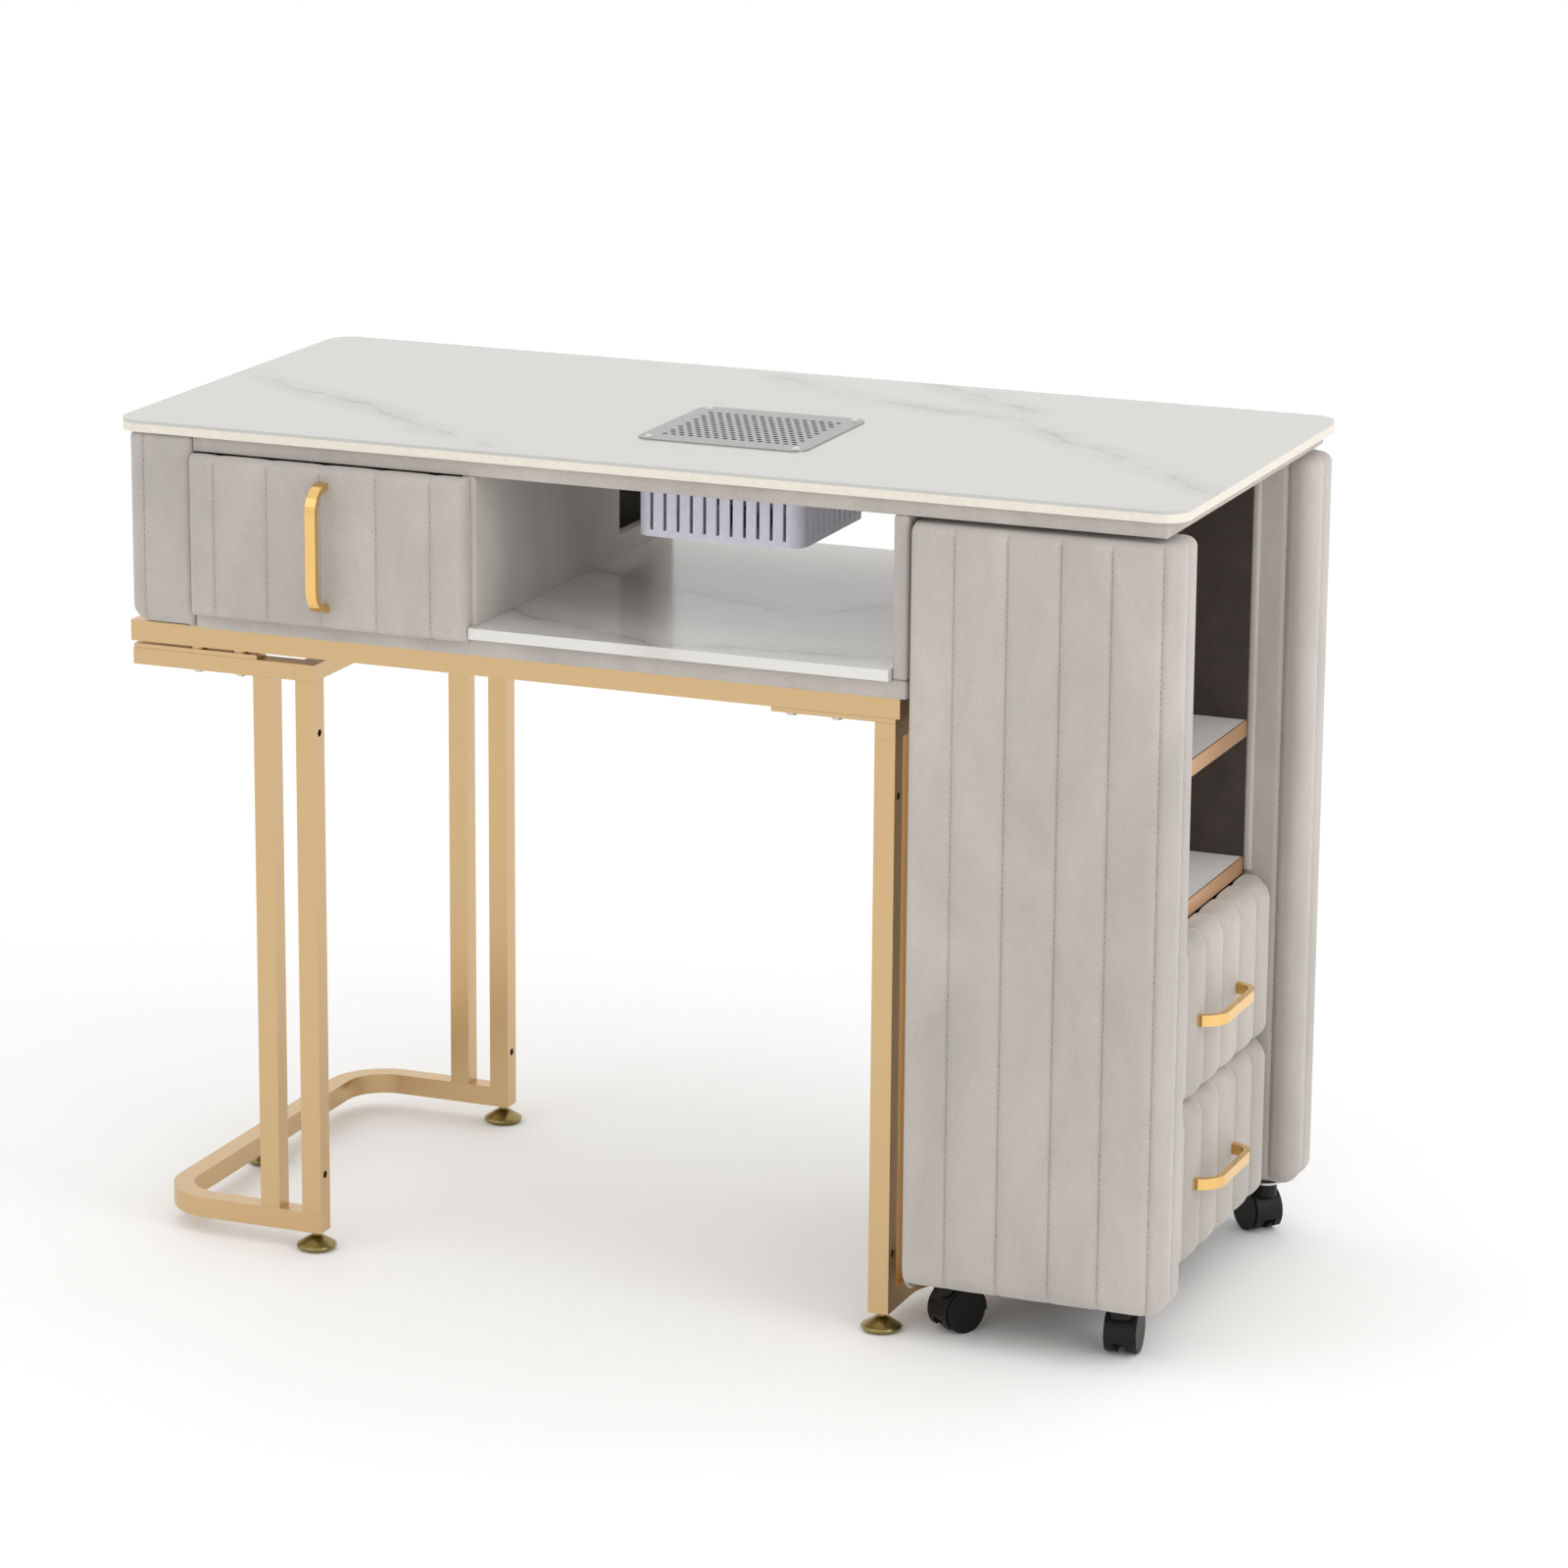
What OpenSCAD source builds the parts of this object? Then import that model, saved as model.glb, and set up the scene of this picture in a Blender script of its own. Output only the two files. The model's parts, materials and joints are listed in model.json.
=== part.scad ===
// Manicure table: a desk on a gold tube frame, with a dust extractor in its
// top, one drawer, an open bay, and a rolling cabinet under its right end.
// Millimetres, +Z up. X runs along the top, Y runs from the sitter's side to
// the back, and the floor is Z = 0.

/* [Top] */
// Length of the table top
top_l = 1000; // [960:1:1100]
// Depth of the table top
top_d = 455; // [440:1:500]
// Height of the table top above the floor
top_h = 762; // [740:1:790]
// Radius of the top's corners
top_r = 24; // [10:1:40]
// Thickness of the stone sheet
stone_t = 3; // [2:0.5:4]
// Thickness of the board under the stone
board_t = 7.5; // [6:0.5:10]
// Thickness of the wrapped panel under the top
under_t = 14; // [12:1:16]

/* [Desk box] */
// Thickness of the padded panel at the left end
side_pad = 66; // [50:1:70]
// Height from the desk box's underside to the under-top panel
box_h = 161; // [155:1:175]
// Thickness of the two partitions
partition_t = 14; // [12:1:16]
// Thickness of the wrapped bottom panel
bottom_t = 17; // [15:1:18]
// Left face of the partition between the drawer and the open bay
drawer_end_x = 338; // [330:1:345]
// Right face of the desk box
box_end_x = 756; // [750:1:760]
// Thickness of the stone plates on the shelves
plate_t = 10; // [8:1:12]

/* [Drawers] */
// Height of every drawer front
front_h = 149; // [145:1:149]
// Thickness of the padded drawer fronts
front_t = 20; // [16:1:22]
// Length of a pull handle
handle_l = 116; // [100:1:120]
// How far a pull handle stands out
handle_out = 27; // [24:1:30]
// Wall thickness of the drawer boxes
drawer_wall = 8; // [6:1:10]
// How far the desk drawer opens
desk_drawer_travel = 270; // [200:1:280]
// Height of the desk drawer's walls
desk_drawer_h = 100; // [80:1:110]

/* [Frame] */
// Side of the square leg tube
tube = 19; // [18:1:20]
// Space between the two posts of a pair
post_gap = 23; // [20:1:26]
// Left face of the outer left post
left_post_x = 128.5; // [126:0.5:132]
// Left face of the right post
right_post_x = 724; // [720:1:726]
// Front face of the front posts
post_front_y = 13; // [10:1:16]
// Height of the floor tube's underside
base_z = 17.5; // [17:0.5:20]
// Centre-line radius of the floor tube's bends
bend_r = 48; // [40:1:52]
// Radius of the cross holes in the inner posts
post_hole_r = 3.5; // [3:0.5:4]
// Height of the upper cross holes
post_hole_top = 487; // [470:1:500]
// Height of the lower cross holes
post_hole_low = 72; // [60:1:90]

/* [Dust extractor] */
// Side of the perforated plate
grille_w = 160; // [150:1:165]
// Centre of the plate from the top's left edge
grille_x = 539; // [520:1:560]
// Centre of the plate from the top's front edge
grille_y = 185; // [175:1:200]
// Depth of the housing under the top
housing_h = 62; // [55:1:70]

/* [Cabinet] */
// Left face of the cabinet
cab_x0 = 761; // [761:1:765]
// Thickness of each padded cabinet side
cab_pad = 64; // [55:1:70]
// Height of the padded sides above the floor
cab_z0 = 51; // [51:1:56]
// Height of the lower shelf's upper face
low_shelf_z = 364; // [364:1:380]
// Height of the upper shelf's upper face
up_shelf_z = 492; // [480:1:520]

/* [Hidden] */
$fn = 48;

// Colours
stone_c = [0.89, 0.88, 0.85];
velvet_c = [0.74, 0.72, 0.69];
gold_c = [0.83, 0.70, 0.53];
brass_c = [0.90, 0.72, 0.35];
dark_c = [0.23, 0.19, 0.16];
steel_c = [0.72, 0.72, 0.70];
black_c = [0.14, 0.14, 0.13];
lilac_c = [0.82, 0.82, 0.88];

// A joint line between two pieces of the same node that aren't fused
seam = 0.1;
// How far the desk drawer's face stands forward of the top's front edge
face_out = 10;
handle_reach = face_out + handle_out;
// The origin is half way between the desk handle and the top's back edge
origin_y = (top_d - handle_reach) / 2;

board_top_z = top_h - stone_t;
under_top_z = board_top_z - board_t;
box_top_z = under_top_z - under_t;
box_z0 = box_top_z - box_h;
bay_z0 = box_z0 + bottom_t;
left_pad_x0 = 10;
drawer_x0 = left_pad_x0 + side_pad;
box_y0 = 5;
box_y1 = top_d - 5;
bay_x0 = drawer_end_x + partition_t;
bay_x1 = box_end_x - partition_t;

frame_z0 = box_z0 - tube - 0.3;
mount_plate_t = 4;
bar_h = 15;
spacer_t = 2.1;
bar_z0 = frame_z0 - spacer_t - mount_plate_t - bar_h - 0.4;
right_bar_z0 = frame_z0 - mount_plate_t - bar_h - 0.4;
inner_post_x = left_post_x + tube + post_gap;
rear_post_y = top_d - post_front_y - tube;
base_left_x = 16;
second_post_y = post_front_y + tube + post_gap;

// Moves the table's own corner-based coordinates to the shared origin, which
// is the middle of the whole object's footprint
module placed() {
    translate([-top_l / 2, -origin_y, 0])
        children();
}

// A block given by its two corners
module block(low, high) {
    translate(low)
        cube(high - low);
}

// A flat outline with rounded corners, its lower left corner at the origin
module rounded(w, d, r) {
    translate([r, 0])
        square([w - 2 * r, d]);
    translate([0, r])
        square([w, d - 2 * r]);
    for (x = [r, w - r], y = [r, d - r])
        translate([x, y])
            circle(r);
}

// A thick outline with rounded corners
module slab(low, w, d, r, t) {
    translate(low)
        linear_extrude(t)
            rounded(w, d, r);
}

// ---------------------------------------------------------------- the top

fan_hole = grille_w - 26;

module fan_cutout(z0, z1) {
    slab([grille_x - fan_hole / 2, grille_y - fan_hole / 2, z0], fan_hole, fan_hole, 12, z1 - z0);
}

module grille_screw_holes(r, z0, z1) {
    for (sx = [-1, 1], sy = [-1, 1])
        translate([grille_x + sx * screw_pitch / 2, grille_y + sy * screw_pitch / 2, z0])
            cylinder(h = z1 - z0, r = r);
}

screw_pitch = grille_w - 20;

module tabletop_stone() color(stone_c) placed() difference() {
    slab([0, 0, board_top_z], top_l, top_d, top_r, stone_t);
    fan_cutout(board_top_z - 1, top_h + 1);
    grille_screw_holes(2, board_top_z - 1, top_h + 1);
}

module tabletop_board() color("ivory") placed() difference() {
    slab([0, 0, under_top_z], top_l, top_d, top_r, board_t);
    fan_cutout(under_top_z - 1, board_top_z + 1);
    grille_screw_holes(1.6, under_top_z - 1, board_top_z + 1);
}

module under_top_panel() color(velvet_c) placed() difference() {
    block([drawer_x0 + 0.4, box_y0, box_top_z], [top_l - 14, box_y1, under_top_z]);
    fan_cutout(box_top_z - 1, under_top_z + 1);
}

// ----------------------------------------------------------- the desk box

// Padded end panel: rounded front and back lower corners, as seen from the end
module left_side_panel() color(velvet_c) placed() {
    pad_d = box_y1 + 5;
    pad_h = under_top_z - 0.4 - box_z0;
    r = 26;
    translate([drawer_x0, 0, box_z0])
        rotate([90, 0, -90])
            linear_extrude(side_pad)
                translate([-pad_d, 0])
                    difference() {
                        rounded(pad_d, pad_h + r, r);
                        translate([-1, pad_h])
                            square([pad_d + 2, r + 1]);
                    }
}

module desk_bottom_panel() color(velvet_c) placed()
    block([drawer_x0 + 0.4, box_y0, box_z0], [box_end_x, box_y1, bay_z0]);

window_y0 = 323;
window_y1 = 400;
window_z0 = bay_z0 + 29;

module bay_partition_left() color(velvet_c) placed() difference() {
    block([drawer_end_x, box_y0, bay_z0], [bay_x0, box_y1, box_top_z]);
    block([drawer_end_x - 1, window_y0, window_z0], [bay_x0 + 1, window_y1, box_top_z - 12]);
}

module bay_partition_right() color(velvet_c) placed()
    block([bay_x1, box_y0, bay_z0], [box_end_x, box_y1, box_top_z]);

module drawer_bay_back() color(velvet_c) placed()
    block([drawer_x0 + 0.4, box_y1 - 12, bay_z0], [drawer_end_x - seam, box_y1, box_top_z]);

// Stone plate on the bay's floor, with a lip in front of the left partition
module bay_shelf_plate() color(stone_c) placed() {
    lip_x0 = drawer_end_x + 10;
    translate([0, 0, bay_z0])
        linear_extrude(plate_t)
            polygon([[lip_x0, -3], [bay_x1 - 0.3, -3], [bay_x1 - 0.3, box_y1 - 2],
                [bay_x0 + 0.3, box_y1 - 2], [bay_x0 + 0.3, box_y0 - 0.3], [lip_x0, box_y0 - 0.3]]);
}

rail_h = 27;
rail_y0 = 20;
rail_l = desk_drawer_travel + 30;
rail_wall = 1.5;
rail_w = 12.5;

// Fixed member of a drawer slide: a channel open towards +X, along +Y
module fixed_rail(length) {
    rotate([90, 0, 180])
        mirror([1, 0, 0])
            linear_extrude(length)
                polygon([[0, 0], [6, 0], [6, 3], [rail_wall, 3], [rail_wall, rail_h - 3],
                    [6, rail_h - 3], [6, rail_h], [0, rail_h]]);
}

desk_rail_z = bay_z0 + 40;

module desk_drawer_rails() color(steel_c) placed() {
    translate([drawer_x0 + 0.4, rail_y0, desk_rail_z])
        fixed_rail(rail_l);
    translate([drawer_end_x - seam, rail_y0, desk_rail_z])
        mirror([1, 0, 0])
            fixed_rail(rail_l);
}

// -------------------------------------------------------- the desk drawer

desk_front_z0 = box_top_z + 2.5 - front_h;
desk_front_y = 10;
desk_box_y1 = rail_y0 + rail_l - 2;

// An open tray: floor and four walls
module tray(low, high, wall, floor_t) {
    difference() {
        block(low, high);
        block(low + [wall, wall, floor_t], [high[0] - wall, high[1] - wall, high[2] + 1]);
    }
}

module desk_drawer_box() color(dark_c) placed()
    tray([drawer_x0 + rail_w + 0.4, desk_front_y + 0.1, bay_z0 + 8],
        [drawer_end_x - rail_w - seam, desk_box_y1, bay_z0 + 8 + desk_drawer_h], drawer_wall, 6);

module desk_drawer_front() color(velvet_c) placed()
    block([drawer_x0 + 1.6, desk_front_y - front_t, desk_front_z0],
        [drawer_end_x + 9, box_y0 - 0.4, desk_front_z0 + front_h - 4]);

// Pull handle: a flat bar with rounded ends, standing out along +X of its own
// outline, which lies in the XY plane with the feet at x = 0
module pull(length, out, width, t) {
    r = 24;
    translate([0, 0, -width / 2])
        linear_extrude(width)
            intersection() {
                difference() {
                    translate([-out, -length / 2])
                        rounded(2 * out, length, r);
                    translate([-out + t, -length / 2 + t])
                        rounded(2 * (out - t), length - 2 * t, r - t);
                }
                translate([0, -length / 2 - 1])
                    square([out + 1, length + 2]);
            }
}

handle_w = 10;
handle_t = 6;
desk_handle_x = (drawer_x0 + drawer_end_x + 10) / 2;
desk_handle_z = desk_front_z0 + front_h / 2;

module desk_drawer_handle() color(brass_c) placed()
    translate([desk_handle_x, desk_front_y - front_t - 0.05, desk_handle_z])
        rotate([0, 0, -90])
            rotate([90, 0, 0])
                pull(handle_l, handle_out, handle_w, handle_t);

// Moving member of a drawer slide: a flat bar that runs inside the channel
module runner(length) {
    block([rail_wall + 0.3, 0, 3.4], [rail_w - seam, length, rail_h - 3.4]);
}

module desk_drawer_runners() color(steel_c) placed() {
    translate([drawer_x0 + 0.4, rail_y0, desk_rail_z])
        runner(rail_l - 4);
    translate([drawer_end_x - seam, rail_y0, desk_rail_z])
        mirror([1, 0, 0])
            runner(rail_l - 4);
}

// --------------------------------------------------------- the tube frame

upper_x0 = 6.5;
upper_x1 = 747;
left_bolts_x = [70, 112];
right_bolts_x = [right_post_x - 80, right_post_x - 38];

tube_wall = 1.5;

// Quarter bend of hollow square tube about the Z axis, from angle a0
module tube_bend(r, a0, sweep) {
    rotate([0, 0, a0])
        rotate_extrude(angle = sweep, $fn = 96)
            translate([r - tube / 2, 0])
                difference() {
                    square(tube);
                    translate([tube_wall, tube_wall])
                        square(tube - 2 * tube_wall);
                }
}

// Straight hollow tube along +Z from the origin, with a closed end where
// end0 or end1 is 1; every tube keeps at least one open end in a joint
module tube_run(length, end0, end1, a = tube, b = tube) {
    difference() {
        translate([0, 0, seam])
            cube([a, b, length - 2 * seam]);
        translate([tube_wall, tube_wall, end0 == 1 ? seam + tube_wall : -1])
            cube([a - 2 * tube_wall, b - 2 * tube_wall,
                length + 2 - (end0 == 1 ? 1 + seam + tube_wall : 0) - (end1 == 1 ? 1 + seam + tube_wall : 0)]);
    }
}

module tube_x(x0, x1, y, z, end0 = 0, end1 = 0, h = tube) {
    translate([x0, y, z])
        mirror([1, 0, -1])
            tube_run(x1 - x0, end0, end1, h, tube);
}

module tube_y(x, y0, y1, z, end0 = 0, end1 = 0, h = tube) {
    translate([x, y0, z])
        mirror([0, 1, -1])
            tube_run(y1 - y0, end0, end1, tube, h);
}

module tube_z(x, y, z0, z1) {
    translate([x, y, z0])
        tube_run(z1 - z0, 0, 0);
}

// Solid corner piece between two tubes
module corner_plug(x, y, z) {
    translate([x, y, z])
        cube([tube, tube, bar_h]);
}

upper_y1 = top_d - post_front_y;

// Front or rear tube of the upper frame, with a bolt hole in its underside
module upper_rail(y)
    difference() {
        tube_x(upper_x0, upper_x1, y, frame_z0, 1, 1);
        translate([left_bolts_x[0], y + tube / 2, frame_z0 - 1])
            cylinder(h = tube_wall + 2, r = 3);
    }

// Rectangle of square tube under the desk box
module upper_frame() color(gold_c) placed() {
    upper_rail(post_front_y);
    upper_rail(upper_y1 - tube);
    for (x = [upper_x0, upper_x1 - tube])
        tube_y(x, post_front_y + tube, upper_y1 - tube, frame_z0);
}

module cross_hole(x, y, z) {
    translate([x - 1, y + tube / 2, z])
        rotate([0, 90, 0])
            cylinder(h = tube + 2, r = post_hole_r);
}

stem_r = 4;

// Hole in a floor tube's underside for a levelling foot's stem
module stem_hole(x, y) {
    translate([x, y, base_z - 1])
        cylinder(h = tube_wall + 2, r = stem_r + 0.08);
}

// A post with the two cross holes
module drilled_post(x, y, top_z) {
    difference() {
        tube_z(x, y, base_z + tube, top_z);
        cross_hole(x, y, post_hole_top);
        cross_hole(x, y, post_hole_low);
    }
}

base_outer_x = base_left_x + bend_r + tube / 2;
base_front_y = post_front_y + bend_r + tube / 2;
base_rear_y = top_d - base_front_y;

// Left legs: two pairs of posts, a bar round their tops, a C-shaped floor tube
module left_leg_frame() color(gold_c) placed() {
    for (y = [post_front_y, rear_post_y]) {
        tube_z(left_post_x, y, base_z + tube, bar_z0);
        drilled_post(inner_post_x, y, bar_z0);
        tube_x(upper_x0 + 2, inner_post_x, y, bar_z0, 1, 0, bar_h);
        corner_plug(inner_post_x, y, bar_z0);
        difference() {
            tube_x(base_outer_x, inner_post_x + tube, y, base_z, 0, 1);
            stem_hole(inner_post_x + tube / 2, y + tube / 2);
        }
    }
    tube_y(inner_post_x, post_front_y + tube, rear_post_y, bar_z0, 0, 0, bar_h);
    difference() {
        tube_y(base_left_x, base_front_y, base_rear_y, base_z);
        stem_hole(base_left_x + tube / 2, top_d / 2);
    }
    translate([base_outer_x, base_front_y, base_z])
        tube_bend(bend_r, 180, 90);
    translate([base_outer_x, base_rear_y, base_z])
        tube_bend(bend_r, 90, 90);
}

turn_r = 60;
turn_y = second_post_y + tube;
turn_x = right_post_x + tube / 2 + turn_r;
bow_deg = 55;
bow_x = turn_x - turn_r * cos(bow_deg);
bow_y = turn_y + turn_r * sin(bow_deg);

// Right legs: a pair of posts one behind the other at each end, and a floor
// tube that bows out under the cabinet between its casters
module right_leg_frame() color(gold_c) placed() {
    for (flip = [0, 1])
        translate([0, flip * top_d, 0])
            mirror([0, flip, 0]) {
                drilled_post(right_post_x, post_front_y, right_bar_z0);
                tube_z(right_post_x, second_post_y, base_z + tube, right_bar_z0);
                difference() {
                    tube_y(right_post_x, post_front_y, turn_y, base_z, 1, 0);
                    stem_hole(right_post_x + tube / 2, post_front_y + tube / 2);
                }
                corner_plug(right_post_x, post_front_y, right_bar_z0);
                translate([turn_x, turn_y, base_z])
                    tube_bend(turn_r, 180, -bow_deg);
                bow_arm();
            }
    tube_y(right_post_x, post_front_y + tube, rear_post_y, right_bar_z0, 0, 0, bar_h);
    difference() {
        tube_y(bow_end_x, bow_end_y, top_d - bow_end_y, base_z);
        stem_hole(bow_end_x + tube / 2, top_d / 2);
    }
}

bow_end_x = 790;
arm_dx = bow_end_x + tube / 2 - bow_x - turn_r * (1 - sin(90 - bow_deg));
arm_l = arm_dx / sin(bow_deg);
bow_end_y = bow_y + arm_l * cos(bow_deg) + turn_r * sin(bow_deg);

// Straight slanting arm after the first turn, and the bend back to Y
module bow_arm() {
    translate([bow_x, bow_y, base_z])
        rotate([0, 0, 90 - bow_deg])
            tube_x(0, arm_l, -tube / 2, 0);
    translate([bow_end_x + tube / 2 - turn_r, bow_end_y, base_z])
        tube_bend(turn_r, 0, -bow_deg);
}

// Thin plates between the upper frame and the legs, with spacers on the left ones
module leg_mount_plates() color(gold_c) placed()
    for (y = [post_front_y, rear_post_y]) {
        block([upper_x0 + 3, y, left_plate_z], [left_post_x + 4, y + tube, left_plate_z + mount_plate_t]);
        for (x = left_bolts_x)
            translate([x, y + tube / 2, left_plate_z + mount_plate_t - 1])
                cylinder(h = spacer_t + 0.9, r = 8);
        block([right_post_x - 96, y, right_plate_z],
            [right_post_x + tube, y + tube, right_plate_z + mount_plate_t]);
    }

left_plate_z = bar_z0 + bar_h + 0.2;
right_plate_z = right_bar_z0 + bar_h + 0.2;
bolt_head_r = 6.5;

// Domed bolt head under a bar or plate
module hanging_bolt(x, y, z) {
    translate([x, y, z - 3.2])
        cylinder(h = 3.2, r1 = bolt_head_r - 2, r2 = bolt_head_r, $fn = 48);
}

module frame_bolts() color("dimgray") placed()
    for (y = [post_front_y, rear_post_y]) {
        for (x = left_bolts_x)
            hanging_bolt(x, y + tube / 2, bar_z0 - 0.05);
        for (x = right_bolts_x)
            hanging_bolt(x, y + tube / 2, right_plate_z - 0.05);
    }

// ------------------------------------------------------- dust extractor

grille_t = 1;
hole_cols = 16;
hole_rows = 13;
hole_pitch = 8.2;
hole_r = 2.5;

// A field of staggered holes
module grille_plate() color(steel_c) placed() difference() {
    slab([grille_x - grille_w / 2, grille_y - grille_w / 2, top_h + 0.05], grille_w, grille_w, 14, grille_t);
    for (row = [0 : hole_rows - 1], col = [0 : hole_cols - 1 - row % 2])
        translate([grille_x + (col - (hole_cols - 1) / 2 + (row % 2) / 2) * hole_pitch,
            grille_y + (row - (hole_rows - 1) / 2) * hole_pitch * 1.07, top_h - 1])
            cylinder(h = 3, r = hole_r, $fn = 16);
    grille_screw_holes(2, top_h - 1, top_h + 3);
}

module grille_screws() color("silver") placed()
    for (sx = [-1, 1], sy = [-1, 1])
        translate([grille_x + sx * screw_pitch / 2, grille_y + sy * screw_pitch / 2, 0]) {
            translate([0, 0, top_h + 0.05 + grille_t + 0.02])
                cylinder(h = 1.6, r1 = 3.6, r2 = 2.2);
            translate([0, 0, under_top_z + 0.5])
                cylinder(h = top_h + grille_t - under_top_z, r = 1.5);
        }

housing_w = 158;
housing_d = 158;
housing_wall = 2.5;
housing_z1 = box_top_z - 0.1;
housing_z0 = housing_z1 - housing_h;
slot_count = 11;
slot_pitch = 12.6;

// Square plastic box with rounded corners and vertical slots on all sides
module fan_housing() color(lilac_c) placed() difference() {
    slab([grille_x - housing_w / 2, grille_y - housing_d / 2, housing_z0], housing_w, housing_d, 16, housing_h);
    slab([grille_x - housing_w / 2 + housing_wall, grille_y - housing_d / 2 + housing_wall,
        housing_z0 + housing_wall], housing_w - 2 * housing_wall, housing_d - 2 * housing_wall,
        16 - housing_wall, housing_h);
    for (i = [0 : slot_count - 1]) {
        s = (i - (slot_count - 1) / 2) * slot_pitch;
        block([grille_x + s - 1.6, grille_y - housing_d, housing_z0 + 6],
            [grille_x + s + 1.6, grille_y + housing_d, housing_z1 - 20]);
        block([grille_x - housing_w, grille_y + s - 1.6, housing_z0 + 6],
            [grille_x + housing_w, grille_y + s + 1.6, housing_z1 - 20]);
    }
}

shaft_r = 3;
motor_z0 = housing_z0 + housing_wall + 0.1;

// Motor on the housing's floor, with a fixed shaft that the rotor turns on
module fan_motor() color("dimgray") placed()
    translate([grille_x, grille_y, motor_z0]) {
        cylinder(h = 16, r = 22);
        cylinder(h = 42, r = shaft_r);
    }

blade_count = 7;

// Hub and blades
module fan_rotor() color([0.75, 0.75, 0.82]) placed()
    translate([grille_x, grille_y, motor_z0 + 18]) {
        difference() {
            union() {
                cylinder(h = 20, r = 20);
                for (i = [0 : blade_count - 1])
                    rotate([0, 0, i * 360 / blade_count])
                        translate([18, 0, 10])
                            rotate([32, 0, 0])
                                translate([0, -13, -1])
                                    cube([46, 26, 2]);
            }
            translate([0, 0, -1])
                cylinder(h = 30, r = shaft_r + 0.05);
        }
    }

// ------------------------------------------------------------ the cabinet

cab_x1 = 998;
cab_z1 = box_top_z - 5;
cab_y0 = -5;
cab_y1 = top_d - 1;
inner_y0 = cab_y0 + cab_pad;
inner_y1 = cab_y1 - cab_pad;
wall_t = 12;
liner_t = 6;
opening_x = 942;
carcass_z0 = cab_z0 + 2;
carcass_z1 = cab_z1 - 2;
clear_y0 = inner_y0 + liner_t + 0.4;
clear_y1 = inner_y1 - liner_t - 0.4;

// Padded side, rounded at its outer corners as seen from above
module cabinet_side(y0, y1, outer_y0, outer_y1) {
    r = 22;
    translate([0, 0, cab_z0])
        linear_extrude(cab_z1 - cab_z0)
            intersection() {
                translate([cab_x0, outer_y0])
                    rounded(cab_x1 - cab_x0, outer_y1 - outer_y0, r);
                translate([cab_x0 - 1, y0])
                    square([cab_x1 - cab_x0 + 2, y1 - y0]);
            }
}

module cabinet_front_side() color(velvet_c) placed()
    cabinet_side(cab_y0, inner_y0, cab_y0, inner_y0 + 30);

module cabinet_rear_side() color(velvet_c) placed()
    cabinet_side(inner_y1, cab_y1, inner_y1 - 30, cab_y1);

module cabinet_left_wall() color(velvet_c) placed()
    block([cab_x0 + 1, inner_y0 + 0.3, carcass_z0], [cab_x0 + 1 + wall_t, inner_y1 - 0.3, carcass_z1]);

carcass_x0 = cab_x0 + 1 + wall_t + 0.1;

module cabinet_top_board() color(velvet_c) placed()
    block([carcass_x0, inner_y0 + 0.3, carcass_z1 - wall_t], [opening_x + 6, inner_y1 - 0.3, carcass_z1]);

// Thin dark walls inside the two padded sides
module cabinet_inner_walls() color(dark_c) placed() {
    z1 = carcass_z1 - wall_t - 0.1;
    z0 = carcass_z0 + wall_t + 0.1;
    block([carcass_x0, inner_y0 + 0.3, z0], [opening_x, inner_y0 + liner_t, z1]);
    block([carcass_x0, inner_y1 - liner_t, z0], [opening_x, inner_y1 - 0.3, z1]);
}

module shelf_block(z) {
    block([carcass_x0, clear_y0, z - 15], [opening_x - 1.6, clear_y1, z]);
}

module cabinet_shelves() color(stone_c) placed() {
    shelf_block(low_shelf_z);
    shelf_block(up_shelf_z);
}

// Metal band along the front edge of each shelf
module shelf_edge_bands() color([0.72, 0.50, 0.32]) placed()
    for (z = [low_shelf_z, up_shelf_z])
        block([opening_x - 1.5, clear_y0, z - 15.2], [opening_x, clear_y1, z]);

module cabinet_base_board() color(dark_c) placed()
    block([carcass_x0, inner_y0 + 0.3, carcass_z0], [opening_x, inner_y1 - 0.3, carcass_z0 + wall_t]);

// Cabinet drawers: index 0 is the lower one, 1 the upper one
low_front_z0 = cab_z0 - 4;
drawer_step = front_h + 2;
cab_box_h = 95;
cab_rail_l = 150;
cab_rail_x0 = opening_x - cab_rail_l - 6;

function cab_front_z(i) = low_front_z0 + i * drawer_step;
function cab_box_z(i) = carcass_z0 + wall_t + 6 + i * drawer_step;
function cab_rail_z(i) = cab_box_z(i) + 30;

// A fixed rail on the liner at y = clear_y0, along +X
module cab_rail(i, moving) {
    translate([cab_rail_x0, clear_y0, cab_rail_z(i)])
        mirror([1, 0, 0])
            rotate([0, 0, 90])
                if (moving)
                    runner(cab_rail_l - 4);
                else
                    fixed_rail(cab_rail_l);
}

module cab_rail_pair(i, moving) {
    cab_rail(i, moving);
    translate([0, clear_y0 + clear_y1, 0])
        mirror([0, 1, 0])
            cab_rail(i, moving);
}

module cabinet_drawer_rails() color(steel_c) placed()
    for (i = [0, 1])
        cab_rail_pair(i, false);

cab_front_t = 24;

module cab_drawer_box(i) {
    tray([cab_rail_x0 - 10, clear_y0 + rail_w, cab_box_z(i)],
        [opening_x + 0.9, clear_y1 - rail_w, cab_box_z(i) + cab_box_h], drawer_wall, 6);
}

module cab_drawer_front(i) {
    block([opening_x + 1, inner_y0 + 2, cab_front_z(i)],
        [opening_x + 1 + cab_front_t, inner_y1 - 2, cab_front_z(i) + front_h]);
}

module cab_drawer_handle(i) {
    translate([opening_x + 1 + cab_front_t + 0.05, (inner_y0 + inner_y1) / 2, cab_front_z(i) + front_h / 2])
        pull(handle_l, handle_out, handle_w, handle_t);
}

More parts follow.
